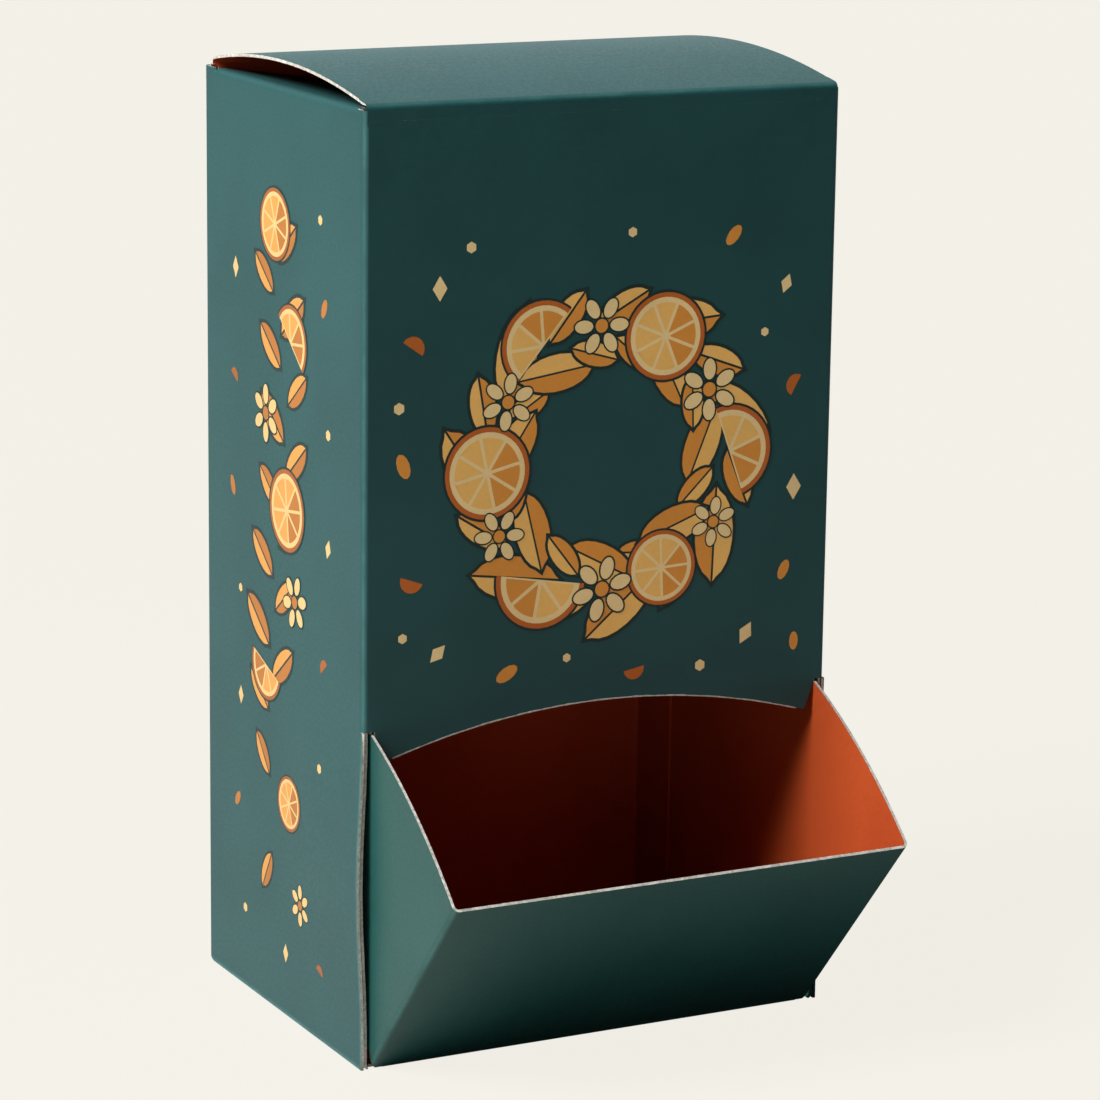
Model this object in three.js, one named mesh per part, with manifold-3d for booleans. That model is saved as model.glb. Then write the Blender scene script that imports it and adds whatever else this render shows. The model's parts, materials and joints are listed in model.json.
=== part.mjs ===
// Gravity dispenser box: a folded carton of thin board with a tuck-in lid and a tilt-out scoop.
// Millimetres, +Z up, the scoop towards -Y. The origin is the middle of the base, on its underside.
import * as THREE from 'three';
import { mergeVertices } from 'three/addons/utils/BufferGeometryUtils.js';
import Module from 'manifold-3d';

const wasm = await Module();
wasm.setup();

// Carton
const width = 110;
const depth = 82;
const frontHeight = 202;
const board = 0.6;
const foldRadius = 1.4;
const creaseGap = 0.3;
const plyGap = 0.2;

// Front opening: an arch in the front panel, with a slit down each side of the scoop
const slitTop = 72.9;
const archEndHeight = 66.4;
const archCrownHeight = 73.9;
const notchWidth = 2;
const notchShare = 0.8;
const freeEdgeBow = 1.1;
const freeEdgeReach = 45;
const bowStart = 6;

// Flaps of the carton
const glueFlapWidth = 16;
const glueFlapTaper = 5;
const innerPlyDepth = 42.5;
const innerPlyHeight = 76;
const innerPlySetback = 0.3;
const plyFoldRadius = 0.9;
const backFoldRadius = 3;
const backFoldFacets = 12;
const dustFlapLength = 38;
const dustFlapSlope = 7;
const dustFlapTuckGap = 0.4;
const dustFoldRadius = 1.6;
const dustFlapTaper = 7;
const dustFlapCorner = 6;
const sideDrop = 0.7;
const frontStubDrop = 0.6;
const backDrop = 0.5;

// Lid
const lidSideGap = 0.9;
const lidFoldRadius = 1.5;
const lidFoldGap = 0.6;
const lidCurlEnd = 245;
const lidBow = 3.8;
const lidRearRise = 1.2;
const lidRearGap = 1.3;
const tuckLength = 15;
const tuckLean = 10;
const tuckShoulder = 1;
const tuckTaper = 3;
const tuckCorner = 8;

// Scoop
const scoopHeight = 61;
const openAngle = 41;
const scoopFoldRadius = 0.6;
const wingGap = 0.6;
const wingBulge = 2.2;
const wingTopGap = 0.6;
const stopSetback = 0.3;
const stopHeight = 5;
const wingInnerAngle = 40;
const wingFloorGap = 3;
const scoopCorner = 3;

// Fineness of curved board
const foldFacets = 6;
const bowFacets = 22;
const curveFacets = 16;
const sideParts = 8;
const bowParts = 10;

const half = { x: width / 2, y: depth / 2 };
const wallTop = frontHeight - 2 * lidFoldRadius - lidFoldGap;
const sideTop = frontHeight - sideDrop;
const backTop = frontHeight - backDrop;
const plyFace = half.x - board - plyGap;
const wingFace = plyFace - board - wingGap;
const scoopAxis = { y: -half.y + scoopFoldRadius, z: scoopFoldRadius };
const lidAxis = { y: -half.y + lidFoldRadius, z: frontHeight - lidFoldRadius };
const rad = THREE.MathUtils.degToRad;
const far = 4 * frontHeight;
const lidRearFace = half.y - board - lidRearGap;
const tuckInnerFace = lidRearFace - board - tuckLength * Math.sin(rad(tuckLean));
const dustFlapFront = lidAxis.y + lidFoldRadius + creaseGap;
const dustFlapRear = tuckInnerFace - dustFlapTuckGap;
const notchEdge = wingFace - board - creaseGap;
const archHalf = notchEdge - notchWidth;
const archRise = archCrownHeight - archEndHeight;
const archRadius = (archHalf ** 2 + archRise ** 2) / (2 * archRise);

// A closed geometry as a solid, turned right side out if it came inside out
function solid(geometry) {
  const bare = geometry.clone();
  bare.deleteAttribute('normal');
  bare.deleteAttribute('uv');
  const merged = mergeVertices(bare, 1e-5);
  const points = merged.getAttribute('position').array;
  const faces = Uint32Array.from(merged.index.array);
  if (signedVolume(points, faces) < 0) {
    for (let k = 0; k < faces.length; k += 3) {
      [faces[k], faces[k + 1]] = [faces[k + 1], faces[k]];
    }
  }
  const mesh = new wasm.Mesh({ numProp: 3, vertProperties: Float32Array.from(points), triVerts: faces });
  return new wasm.Manifold(mesh);
}

function signedVolume(points, faces) {
  const corner = (k) => new THREE.Vector3().fromArray(points, 3 * faces[k]);
  let six = 0;
  for (let k = 0; k < faces.length; k += 3) {
    six += corner(k).dot(corner(k + 1).cross(corner(k + 2)));
  }
  return six / 6;
}

// A solid back as a named mesh with its material
function part(name, body, material) {
  const { numProp, vertProperties, triVerts } = body.getMesh();
  const geometry = new THREE.BufferGeometry();
  geometry.setAttribute('position', new THREE.BufferAttribute(vertProperties, numProp));
  geometry.setIndex(new THREE.BufferAttribute(triVerts, 1));
  geometry.computeVertexNormals();
  const mesh = new THREE.Mesh(geometry, material);
  mesh.name = name;
  return mesh;
}

// A flat outline made a bar along x, y or z: the outline is drawn in (y, z), (x, z) or (x, y)
function bar(outline, along, from, to) {
  const geometry = new THREE.ExtrudeGeometry(outline, { depth: to - from, bevelEnabled: false, curveSegments: curveFacets });
  const X = new THREE.Vector3(1, 0, 0);
  const Y = new THREE.Vector3(0, 1, 0);
  const Z = new THREE.Vector3(0, 0, 1);
  const axes = { x: [Y, Z, X], y: [X, Z, Y], z: [X, Y, Z] }[along];
  geometry.translate(0, 0, from);
  geometry.applyMatrix4(new THREE.Matrix4().makeBasis(...axes));
  return solid(geometry);
}

function rectangle(low, high) {
  const outline = new THREE.Shape();
  outline.moveTo(low[0], low[1]);
  outline.lineTo(high[0], low[1]);
  outline.lineTo(high[0], high[1]);
  outline.lineTo(low[0], high[1]);
  return outline;
}

// Board folded round a line of corners, as pairs of points on its outer and inner faces.
// A corner is { at: [a, b], radius, facets, parts }: its place on the outer face, the outer radius of its
// fold and the facets round it, and the parts of the straight run that leads to it.
// innerSide is 1 where the inner face is on the left.
function foldedSection(corners, innerSide) {
  const places = corners.map((corner) => new THREE.Vector2(...corner.at));
  const heading = (k) => places[k + 1].clone().sub(places[k]).normalize();
  const inward = (direction) => new THREE.Vector2(-direction.y, direction.x).multiplyScalar(innerSide);
  const pairs = [];
  corners.forEach(({ radius = 0, parts = 1, facets = foldFacets }, k) => {
    const before = heading(Math.max(k - 1, 0));
    const after = heading(Math.min(k, corners.length - 2));
    const turn = Math.atan2(before.cross(after), before.dot(after));
    let bend = [];
    if (radius === 0) {
      const mitre = inward(before).add(inward(after)).normalize();
      const reach = board / Math.cos(turn / 2);
      bend = [{ outer: places[k], inner: places[k].clone().addScaledVector(mitre, reach) }];
    } else {
      const back = radius * Math.tan(Math.abs(turn) / 2);
      const centre = places[k].clone().addScaledVector(before, -back).addScaledVector(inward(before), radius);
      for (let step = 0; step <= facets; step += 1) {
        const ray = inward(before).negate().rotateAround(new THREE.Vector2(), (turn * step) / facets);
        bend.push({
          outer: centre.clone().addScaledVector(ray, radius),
          inner: centre.clone().addScaledVector(ray, radius - board),
        });
      }
    }
    const last = pairs[pairs.length - 1];
    for (let step = 1; last && step < parts; step += 1) {
      pairs.push({
        outer: last.outer.clone().lerp(bend[0].outer, step / parts),
        inner: last.inner.clone().lerp(bend[0].inner, step / parts),
      });
    }
    pairs.push(...bend);
  });
  return pairs;
}

// A folded section swept through its stations; place puts a section point at a station into the box
function sweptBoard(section, stations, place) {
  const count = section.length;
  const points = [];
  for (const station of stations) {
    for (const face of ['outer', 'inner']) {
      for (const pair of section) {
        points.push(...place(pair[face], station).toArray());
      }
    }
  }
  const outer = (row, column) => 2 * count * row + column;
  const inner = (row, column) => outer(row, column) + count;
  const faces = [];
  const quad = (a, b, c, d) => faces.push(a, b, c, a, c, d);
  const rows = stations.length - 1;
  const end = count - 1;
  for (let row = 0; row < rows; row += 1) {
    for (let column = 0; column < end; column += 1) {
      quad(outer(row, column), outer(row, column + 1), outer(row + 1, column + 1), outer(row + 1, column));
      quad(inner(row, column + 1), inner(row, column), inner(row + 1, column), inner(row + 1, column + 1));
    }
    quad(inner(row, 0), outer(row, 0), outer(row + 1, 0), inner(row + 1, 0));
    quad(outer(row, end), inner(row, end), inner(row + 1, end), outer(row + 1, end));
  }
  for (let column = 0; column < end; column += 1) {
    quad(inner(0, column), inner(0, column + 1), outer(0, column + 1), outer(0, column));
    quad(outer(rows, column), outer(rows, column + 1), inner(rows, column + 1), inner(rows, column));
  }
  const geometry = new THREE.BufferGeometry();
  geometry.setAttribute('position', new THREE.Float32BufferAttribute(points, 3));
  geometry.setIndex(faces);
  return solid(geometry);
}

// Even stations from one value to another
function stations(from, to, parts) {
  return Array.from({ length: parts + 1 }, (_, k) => THREE.MathUtils.lerp(from, to, k / parts));
}

// How far the free front edge of a side wall bows outwards at a place on it
function bow(y, z) {
  const nearness = THREE.MathUtils.clamp((freeEdgeReach - half.y - y) / freeEdgeReach, 0, 1);
  const rise = THREE.MathUtils.clamp((z - bowStart) / (slitTop - bowStart), 0, 1);
  return freeEdgeBow * nearness * nearness * (3 - 2 * nearness) * Math.sin(Math.PI * rise) ** 2;
}

function bowed(x, y, z) {
  const onSide = Math.abs(x) > plyFace - foldRadius;
  return new THREE.Vector3(onSide ? x + Math.sign(x) * bow(y, z) : x, y, z);
}

// Walls: one strip from the right wall round to the glue flap, with the seam at the back right corner
function walls() {
  const upright = (point, z) => bowed(point.x, point.y, z);
  const seamEdge = [half.x, half.y - plyGap];
  const backLeft = { at: [-half.x, half.y], radius: foldRadius, parts: sideParts };
  const backRight = { at: [plyFace, half.y], radius: foldRadius };
  const glueEdge = { at: [plyFace, half.y - glueFlapWidth] };
  const round = foldedSection([
    { at: seamEdge },
    { at: [half.x, -half.y], radius: foldRadius },
    { at: [-half.x, -half.y], radius: foldRadius },
    { ...backLeft, parts: 1 },
    backRight,
    glueEdge,
  ], -1);
  const leftAndBack = foldedSection([{ at: [-half.x, -half.y] }, backLeft, backRight, glueEdge], -1);
  const rightWall = foldedSection([{ at: seamEdge }, { at: [half.x, -half.y], parts: sideParts }], -1);
  const lowStations = [0, ...stations(bowStart, slitTop, bowParts)];
  return sweptBoard(round, [slitTop, wallTop], upright)
    .add(sweptBoard(leftAndBack, lowStations, upright))
    .add(sweptBoard(rightWall, lowStations, upright))
    .intersect(backFoldRoom())
    .add(bar(rectangle([-half.x + foldRadius, wallTop], [plyFace - foldRadius, backTop]), 'y', half.y - board, half.y))
    .add(cornerStub(-1, dustFlapRear, half.y - foldRadius, sideTop))
    .add(cornerStub(1, dustFlapRear, half.y - foldRadius, sideTop))
    .add(cornerStub(-1, -half.y + foldRadius, dustFlapFront, sideTop - frontStubDrop))
    .add(cornerStub(1, -half.y + foldRadius, dustFlapFront, sideTop - frontStubDrop));
}

// All of the carton but what its rounded rear bottom fold leaves out
function backFoldRoom() {
  const outline = new THREE.Shape();
  outline.moveTo(-depth, 0);
  outline.lineTo(half.y - backFoldRadius, 0);
  for (let step = 1; step <= backFoldFacets; step += 1) {
    const turn = (Math.PI / 2) * (step / backFoldFacets);
    outline.lineTo(
      half.y - backFoldRadius * (1 - Math.sin(turn)),
      backFoldRadius * (1 - Math.cos(turn)),
    );
  }
  outline.lineTo(half.y, far);
  outline.lineTo(-depth, far);
  return bar(outline, 'x', -width, width);
}

// The top of a side wall beside its dust flap: behind it the tuck flap lies inside, in front of it
// the lid's hinge fold; side is -1 or 1
function cornerStub(side, from, to, top) {
  const outline = rectangle([from, wallTop], [to, top]);
  const faces = [side * (half.x - board), side * half.x].sort((a, b) => a - b);
  return bar(outline, 'x', ...faces);
}

// Draws the arch into an outline, from its left end to its right end
function addArch(outline) {
  const spread = Math.asin(archHalf / archRadius);
  outline.lineTo(-archHalf, archEndHeight);
  outline.absarc(0, archCrownHeight - archRadius, archRadius, Math.PI / 2 + spread, Math.PI / 2 - spread, true);
}

// The part of the front panel below the slits' tops, with the arch and a notch for each wing
function archedApron() {
  const notchHeight = THREE.MathUtils.lerp(archEndHeight, slitTop, notchShare);
  const top = slitTop + notchWidth;
  const outline = new THREE.Shape();
  outline.moveTo(-half.x + foldRadius, top);
  outline.lineTo(-half.x + foldRadius, slitTop);
  outline.lineTo(-notchEdge, slitTop);
  outline.lineTo(-notchEdge, notchHeight);
  addArch(outline);
  outline.lineTo(notchEdge, notchHeight);
  outline.lineTo(notchEdge, slitTop);
  outline.lineTo(half.x - foldRadius, slitTop);
  outline.lineTo(half.x - foldRadius, top);
  return bar(outline, 'y', -half.y, -half.y + board);
}

// What the arch takes out of the walls' strip above the slits' tops
function archClearance() {
  const outline = new THREE.Shape();
  outline.moveTo(archHalf, archEndHeight);
  addArch(outline);
  return bar(outline, 'y', -half.y - board, -half.y + 2 * board);
}

// Base panel, folded forwards from the back panel, up to the scoop's fold
function base() {
  const front = scoopAxis.y + scoopFoldRadius + creaseGap;
  const section = foldedSection([
    { at: [half.y, backFoldRadius + board] },
    { at: [half.y, 0], radius: backFoldRadius, facets: backFoldFacets },
    { at: [front, 0] },
  ], -1);
  const along = (point, x) => new THREE.Vector3(x, point.x, point.y);
  return sweptBoard(section, [-plyFace + plyFoldRadius, plyFace - plyFoldRadius], along);
}

// The base's side flaps, turned up inside the side walls as a second ply behind their free edges
function innerPlies() {
  const section = foldedSection([
    { at: [-plyFace, innerPlyHeight] },
    { at: [-plyFace, 0], radius: plyFoldRadius, parts: bowParts },
    { at: [plyFace, 0], radius: plyFoldRadius },
    { at: [plyFace, innerPlyHeight], parts: bowParts },
  ], 1);
  const front = -half.y + innerPlySetback;
  const along = (point, y) => bowed(point.x, y, point.y);
  const plies = sweptBoard(section, stations(front, -half.y + innerPlyDepth, sideParts), along);
  const scoopRoom = bar(
    rectangle([-plyFace + plyFoldRadius, -far], [plyFace - plyFoldRadius, bowStart]),
    'y',
    -half.y - board,
    scoopAxis.y + scoopFoldRadius + creaseGap,
  );
  return plies.subtract(scoopRoom);
}

// Dust flap of one side wall, folded in under the lid and sloping down; side is -1 or 1
function dustFlap(side) {
  const slope = rad(dustFlapSlope);
  const section = foldedSection([
    { at: [-half.x, wallTop] },
    { at: [-half.x, sideTop], radius: dustFoldRadius },
    { at: [-half.x + dustFlapLength * Math.cos(slope), sideTop - dustFlapLength * Math.sin(slope)] },
  ], -1);
  const along = (point, y) => new THREE.Vector3(-side * point.x, y, point.y);
  const flap = sweptBoard(section, [dustFlapFront, dustFlapRear], along);
  const root = half.x - 2 * foldRadius;
  const tip = half.x - dustFlapLength;
  const frontTip = dustFlapFront + dustFlapTaper;
  const rearTip = dustFlapRear - dustFlapTaper;
  const outline = new THREE.Shape();
  outline.moveTo(side * width, -half.y);
  outline.lineTo(side * root, -half.y);
  outline.lineTo(side * root, dustFlapFront);
  outline.lineTo(side * (tip + dustFlapCorner), frontTip);
  outline.quadraticCurveTo(side * tip, frontTip, side * tip, frontTip + dustFlapCorner);
  outline.lineTo(side * tip, rearTip - dustFlapCorner);
  outline.quadraticCurveTo(side * tip, rearTip, side * (tip + dustFlapCorner), rearTip);
  outline.lineTo(side * root, dustFlapRear);
  outline.lineTo(side * width, half.y);
  return flap.intersect(bar(outline, 'z', 0, far));
}

// The glue flap's slanting ends
function glueFlapEnds() {
  const inner = half.y - glueFlapWidth;
  const wedge = (z, turn) => {
    const outline = new THREE.Shape();
    outline.moveTo(inner - creaseGap, z);
    outline.lineTo(half.y - foldRadius, z);
    outline.lineTo(inner - creaseGap, z + turn * glueFlapTaper);
    return bar(outline, 'x', plyFace - 2 * board, half.x - board);
  };
  return wedge(wallTop, -1).add(wedge(backFoldRadius, 1));
}

function carton() {
  return walls()
    .subtract(archClearance())
    .add(archedApron())
    .subtract(glueFlapEnds())
    .add(base())
    .add(innerPlies())
    .add(dustFlap(-1))
    .add(dustFlap(1));
}

// Lid: it hinges on the front panel's top fold, bows upwards and tucks in behind the back panel
function lid() {
  const front = new THREE.Vector2(lidAxis.y, frontHeight);
  const rear = new THREE.Vector2(lidRearFace, frontHeight + lidRearRise);
  const chord = rear.clone().sub(front);
  const rise = new THREE.Vector2(-chord.y, chord.x).normalize();
  const radius = (chord.length() ** 2 / 4 + lidBow ** 2) / (2 * lidBow);
  const spread = Math.asin(chord.length() / 2 / radius);
  const centre = front.clone().add(rear).multiplyScalar(0.5).addScaledVector(rise, lidBow - radius);
  const corners = [];
  for (let step = 1; step < bowFacets; step += 1) {
    const ray = rise.clone().rotateAround(new THREE.Vector2(), THREE.MathUtils.lerp(spread, -spread, step / bowFacets));
    corners.push({ at: centre.clone().addScaledVector(ray, radius).toArray() });
  }
  const lean = rad(tuckLean);
  corners.push({ at: rear.toArray(), radius: foldRadius });
  corners.push({ at: [rear.x - tuckLength * Math.sin(lean), rear.y - tuckLength * Math.cos(lean)] });
  const edge = half.x - lidSideGap;
  const along = (point, x) => new THREE.Vector3(x, point.x, point.y);
  const section = [...hingeCurl(rise.angle() + spread), ...foldedSection(corners, -1)];
  const panel = sweptBoard(section, [-edge, edge], along);
  const tip = rear.y - tuckLength;
  const shoulder = sideTop + creaseGap;
  const outline = new THREE.Shape();
  outline.moveTo(-width, 2 * frontHeight);
  outline.lineTo(-width, shoulder);
  outline.lineTo(-edge + tuckShoulder, shoulder);
  outline.lineTo(-edge + tuckTaper, tip + tuckCorner);
  outline.quadraticCurveTo(-edge + tuckTaper, tip, -edge + tuckTaper + tuckCorner, tip);
  outline.lineTo(edge - tuckTaper - tuckCorner, tip);
  outline.quadraticCurveTo(edge - tuckTaper, tip, edge - tuckTaper, tip + tuckCorner);
  outline.lineTo(edge - tuckShoulder, shoulder);
  outline.lineTo(width, shoulder);
  outline.lineTo(width, 2 * frontHeight);
  return panel.intersect(bar(outline, 'y', -depth, depth));
}

// Section of the lid's hinge fold, curled about its axis up to the lid panel's slope
function hingeCurl(slopeAngle) {
  const centre = new THREE.Vector2(lidAxis.y, lidAxis.z);
  return Array.from({ length: 2 * foldFacets + 1 }, (_, step) => {
    const turn = THREE.MathUtils.lerp(rad(lidCurlEnd), slopeAngle, step / (2 * foldFacets));
    const ray = new THREE.Vector2(Math.cos(turn), Math.sin(turn));
    return {
      outer: centre.clone().addScaledVector(ray, lidFoldRadius),
      inner: centre.clone().addScaledVector(ray, lidFoldRadius - board),
    };
  });
}

// Outline of the closed scoop seen from its side, in (y, z): the wings' top edges run back from the lip,
// and a shoulder behind the front panel stops the scoop when it is open
function scoopProfile() {
  const swing = rad(openAngle);
  const pivot = new THREE.Vector2(scoopAxis.y, scoopAxis.z);
  const closed = (y, z) => new THREE.Vector2(y, z).rotateAround(pivot, -swing);
  const lip = new THREE.Vector2(-half.y, scoopHeight);
  const notch = slitTop - wingTopGap;
  const edgeEnd = closed(-half.y, notch);
  const shoulder = -half.y + board + stopSetback;
  const reach = Math.hypot(shoulder - pivot.x, notch + stopHeight - pivot.y);
  const middle = lip.clone().add(edgeEnd).multiplyScalar(0.5);
  const outwards = middle.clone().sub(pivot).normalize();
  const control = middle.clone().addScaledVector(outwards, 2 * wingBulge);
  const startAngle = Math.PI / 2 - Math.asin((shoulder - pivot.x) / reach) - swing;
  const endAngle = Math.PI / 2 - rad(wingInnerAngle) - swing;
  const outline = new THREE.Shape();
  outline.moveTo(-half.y - board, 0);
  outline.lineTo(-half.y - board, lip.y);
  outline.lineTo(lip.x, lip.y);
  outline.quadraticCurveTo(control.x, control.y, edgeEnd.x, edgeEnd.y);
  const foot = closed(shoulder, notch);
  outline.lineTo(foot.x, foot.y);
  outline.absarc(pivot.x, pivot.y, reach, startAngle, endAngle, true);
  const floorY = pivot.x + (wingFloorGap - pivot.y) / Math.tan(endAngle);
  outline.lineTo(floorY, wingFloorGap);
  outline.lineTo(-half.y + foldRadius + board, wingFloorGap);
  outline.lineTo(-half.y + board, scoopAxis.z);
  outline.lineTo(-half.y + board, 0);
  return outline;
}

function scoop() {
  const rear = half.y;
  const section = foldedSection([
    { at: [-wingFace, rear] },
    { at: [-wingFace, -half.y], radius: foldRadius },
    { at: [wingFace, -half.y], radius: foldRadius },
    { at: [wingFace, rear] },
  ], 1);
  const upright = (point, z) => new THREE.Vector3(point.x, point.y, z);
  const sleeve = sweptBoard(section, [scoopAxis.z, slitTop + stopHeight], upright);
  const bead = new THREE.Shape();
  bead.absarc(scoopAxis.y, scoopAxis.z, scoopFoldRadius, 0, 2 * Math.PI);
  return sleeve
    .intersect(bar(scoopProfile(), 'x', -half.x, half.x))
    .intersect(bar(scoopFront(), 'y', -depth, depth))
    .add(bar(bead, 'x', scoopCorner - wingFace, wingFace - scoopCorner));
}

// Outline of the closed scoop seen from the front, with its rounded lower corners
function scoopFront() {
  const outline = new THREE.Shape();
  outline.moveTo(-wingFace, frontHeight);
  outline.lineTo(-wingFace, scoopCorner);
  outline.absarc(scoopCorner - wingFace, scoopCorner, scoopCorner, Math.PI, 1.5 * Math.PI, false);
  outline.absarc(wingFace - scoopCorner, scoopCorner, scoopCorner, 1.5 * Math.PI, 2 * Math.PI, false);
  outline.lineTo(wingFace, frontHeight);
  return outline;
}

const printedBoard = new THREE.MeshStandardMaterial({ color: 0x2f5557, roughness: 0.7, metalness: 0 });
const lidBoard = new THREE.MeshStandardMaterial({ color: 0x3b6466, roughness: 0.7, metalness: 0 });
const scoopBoard = new THREE.MeshStandardMaterial({ color: 0x3f6a68, roughness: 0.7, metalness: 0 });

const dispenser = new THREE.Group();
dispenser.add(part('carton', carton(), printedBoard));
dispenser.add(part('lid', lid(), lidBoard));

const scoopHinge = new THREE.Group();
scoopHinge.position.set(0, scoopAxis.y, scoopAxis.z);
scoopHinge.rotation.x = rad(openAngle);
const scoopMesh = part('scoop', scoop(), scoopBoard);
scoopMesh.position.set(0, -scoopAxis.y, -scoopAxis.z);
scoopHinge.add(scoopMesh);
dispenser.add(scoopHinge);

export default dispenser;
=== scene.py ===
# %% [markdown]
# # Gravity dispenser box
# A dispenser box is one sheet of printed board, cut, creased and folded into an upright carton. Its lid bows
# up and tucks in at the back, and a scoop tilts out of an arched opening at the foot of the front.
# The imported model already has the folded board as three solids, so this notebook dresses them: it copies
# each solid, tells print from bare board, adds the creases and the print, and lights it like a studio shot.

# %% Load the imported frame
import json
import math

import bpy
from mathutils import Matrix, Vector
from mathutils.bvhtree import BVHTree

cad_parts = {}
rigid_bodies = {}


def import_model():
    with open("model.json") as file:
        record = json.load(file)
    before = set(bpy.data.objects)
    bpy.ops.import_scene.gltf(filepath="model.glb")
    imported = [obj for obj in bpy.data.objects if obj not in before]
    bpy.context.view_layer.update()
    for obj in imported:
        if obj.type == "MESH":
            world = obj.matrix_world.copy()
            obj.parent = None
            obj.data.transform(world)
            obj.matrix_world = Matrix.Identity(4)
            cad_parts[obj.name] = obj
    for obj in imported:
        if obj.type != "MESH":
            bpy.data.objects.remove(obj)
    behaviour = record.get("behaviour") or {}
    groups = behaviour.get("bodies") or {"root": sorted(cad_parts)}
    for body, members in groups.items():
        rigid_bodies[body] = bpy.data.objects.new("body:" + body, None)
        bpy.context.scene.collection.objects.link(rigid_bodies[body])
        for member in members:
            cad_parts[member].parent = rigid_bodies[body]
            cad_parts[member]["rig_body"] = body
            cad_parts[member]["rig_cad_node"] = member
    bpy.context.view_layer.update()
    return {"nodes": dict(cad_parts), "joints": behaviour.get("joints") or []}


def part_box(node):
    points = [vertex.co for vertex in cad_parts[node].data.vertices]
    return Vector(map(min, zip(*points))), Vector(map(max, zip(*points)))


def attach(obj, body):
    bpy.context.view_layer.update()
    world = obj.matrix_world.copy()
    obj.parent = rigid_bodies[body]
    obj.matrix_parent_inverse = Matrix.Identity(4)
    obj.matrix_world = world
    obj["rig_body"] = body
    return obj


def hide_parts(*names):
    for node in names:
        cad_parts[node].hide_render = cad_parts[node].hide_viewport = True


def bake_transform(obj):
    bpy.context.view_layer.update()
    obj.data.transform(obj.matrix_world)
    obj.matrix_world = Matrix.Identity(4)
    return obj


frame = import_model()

MM = 0.001
carton_low, carton_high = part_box("carton")
print("carton box in mm", [round(v / MM, 1) for v in (*carton_low, *carton_high)])

# %% [markdown]
# ## The folded box's measures
# The print and the creases have to meet the board, so their places are written in the same measures as the
# solids: half the width and depth of the box, the height of its front fold, and the lines on which the lid
# and the scoop turn. Measures in metres keep every piece in the frame's own space.

# %% Name the measures that the pieces share
HALF_WIDTH = 55 * MM
HALF_DEPTH = 41 * MM
FRONT_HEIGHT = 202 * MM
SCOOP_HALF_WIDTH = 53 * MM
SCOOP_OPEN = math.radians(41)
joints = {joint["name"]: joint for joint in frame["joints"]}
lid_axis = Vector(joints["lid_hinge"]["pos_m"])
scoop_axis = Vector(joints["scoop_tilt"]["pos_m"])
print("lid turns about", tuple(round(v, 4) for v in lid_axis))

# %% [markdown]
# ## Working with operators
# Operators act on whatever is selected, and a freshly loaded model is selected all over. Small helpers keep
# that in hand: one clears the selection, one makes a single object selected and active, one opens its mesh
# for editing with everything in it selected, and the last gives a skin of no thickness a wall.

# %% Helpers for selection and edit mode
def deselect_all():
    if bpy.context.object and bpy.context.object.mode != "OBJECT":
        bpy.ops.object.mode_set(mode="OBJECT")
    bpy.ops.object.select_all(action="DESELECT")


def activate(obj):
    deselect_all()
    obj.select_set(True)
    bpy.context.view_layer.objects.active = obj


def edit(obj, mode="FACE"):
    activate(obj)
    bpy.ops.object.mode_set(mode="EDIT")
    bpy.ops.mesh.select_mode(type=mode)
    bpy.ops.mesh.select_all(action="SELECT")


def thicken(piece, thickness, offset):
    wall = piece.modifiers.new("wall", "SOLIDIFY")
    wall.thickness = thickness
    wall.offset = offset
    bpy.ops.object.modifier_apply(modifier=wall.name)


deselect_all()

# %% [markdown]
# ## Paper grain
# Coated board looks flat from afar, but its print has a fine speckle of fibres under the ink, and soft
# clouds where the ink lies a little thicker. Both come from noise at two sizes. They are needed in every
# finish here, so they are built once as a node group that gives masks and a height for a Bump node.

# %% Helpers that build node groups
def new_group(name, inputs, outputs):
    group = bpy.data.node_groups.new(name, "ShaderNodeTree")
    for label, kind, value in inputs:
        socket = group.interface.new_socket(name=label, in_out="INPUT", socket_type=kind)
        if value is not None:
            socket.default_value = value
    for label, kind in outputs:
        group.interface.new_socket(name=label, in_out="OUTPUT", socket_type=kind)
    return group, group.nodes.new("NodeGroupInput"), group.nodes.new("NodeGroupOutput")


def add_node(tree, kind, values=(), **settings):
    node = tree.nodes.new("ShaderNode" + kind)
    for name, value in settings.items():
        setattr(node, name, value)
    for place, value in values:
        if hasattr(value, "is_output"):
            tree.links.new(value, node.inputs[place])
        else:
            node.inputs[place].default_value = value
    return node


def math_node(tree, operation, *terms):
    return add_node(tree, "Math", list(enumerate(terms)), operation=operation).outputs[0]


def noise(tree, vector, scale, detail=3.0, roughness=0.55):
    values = [("Vector", vector), ("Scale", scale), ("Detail", detail), ("Roughness", roughness)]
    return add_node(tree, "TexNoise", values).outputs["Fac"]


def spread(tree, value, low, high, to_low=0.0, to_high=1.0):
    values = [(0, value), (1, low), (2, high), (3, to_low), (4, to_high)]
    return add_node(tree, "MapRange", values, interpolation_type="SMOOTHSTEP").outputs[0]


# %% Build the paper grain group
SPECKLE_SCALE = 1400.0
CLOUD_SCALE = 34.0
FIBRE_FINENESS = 2.5


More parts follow.
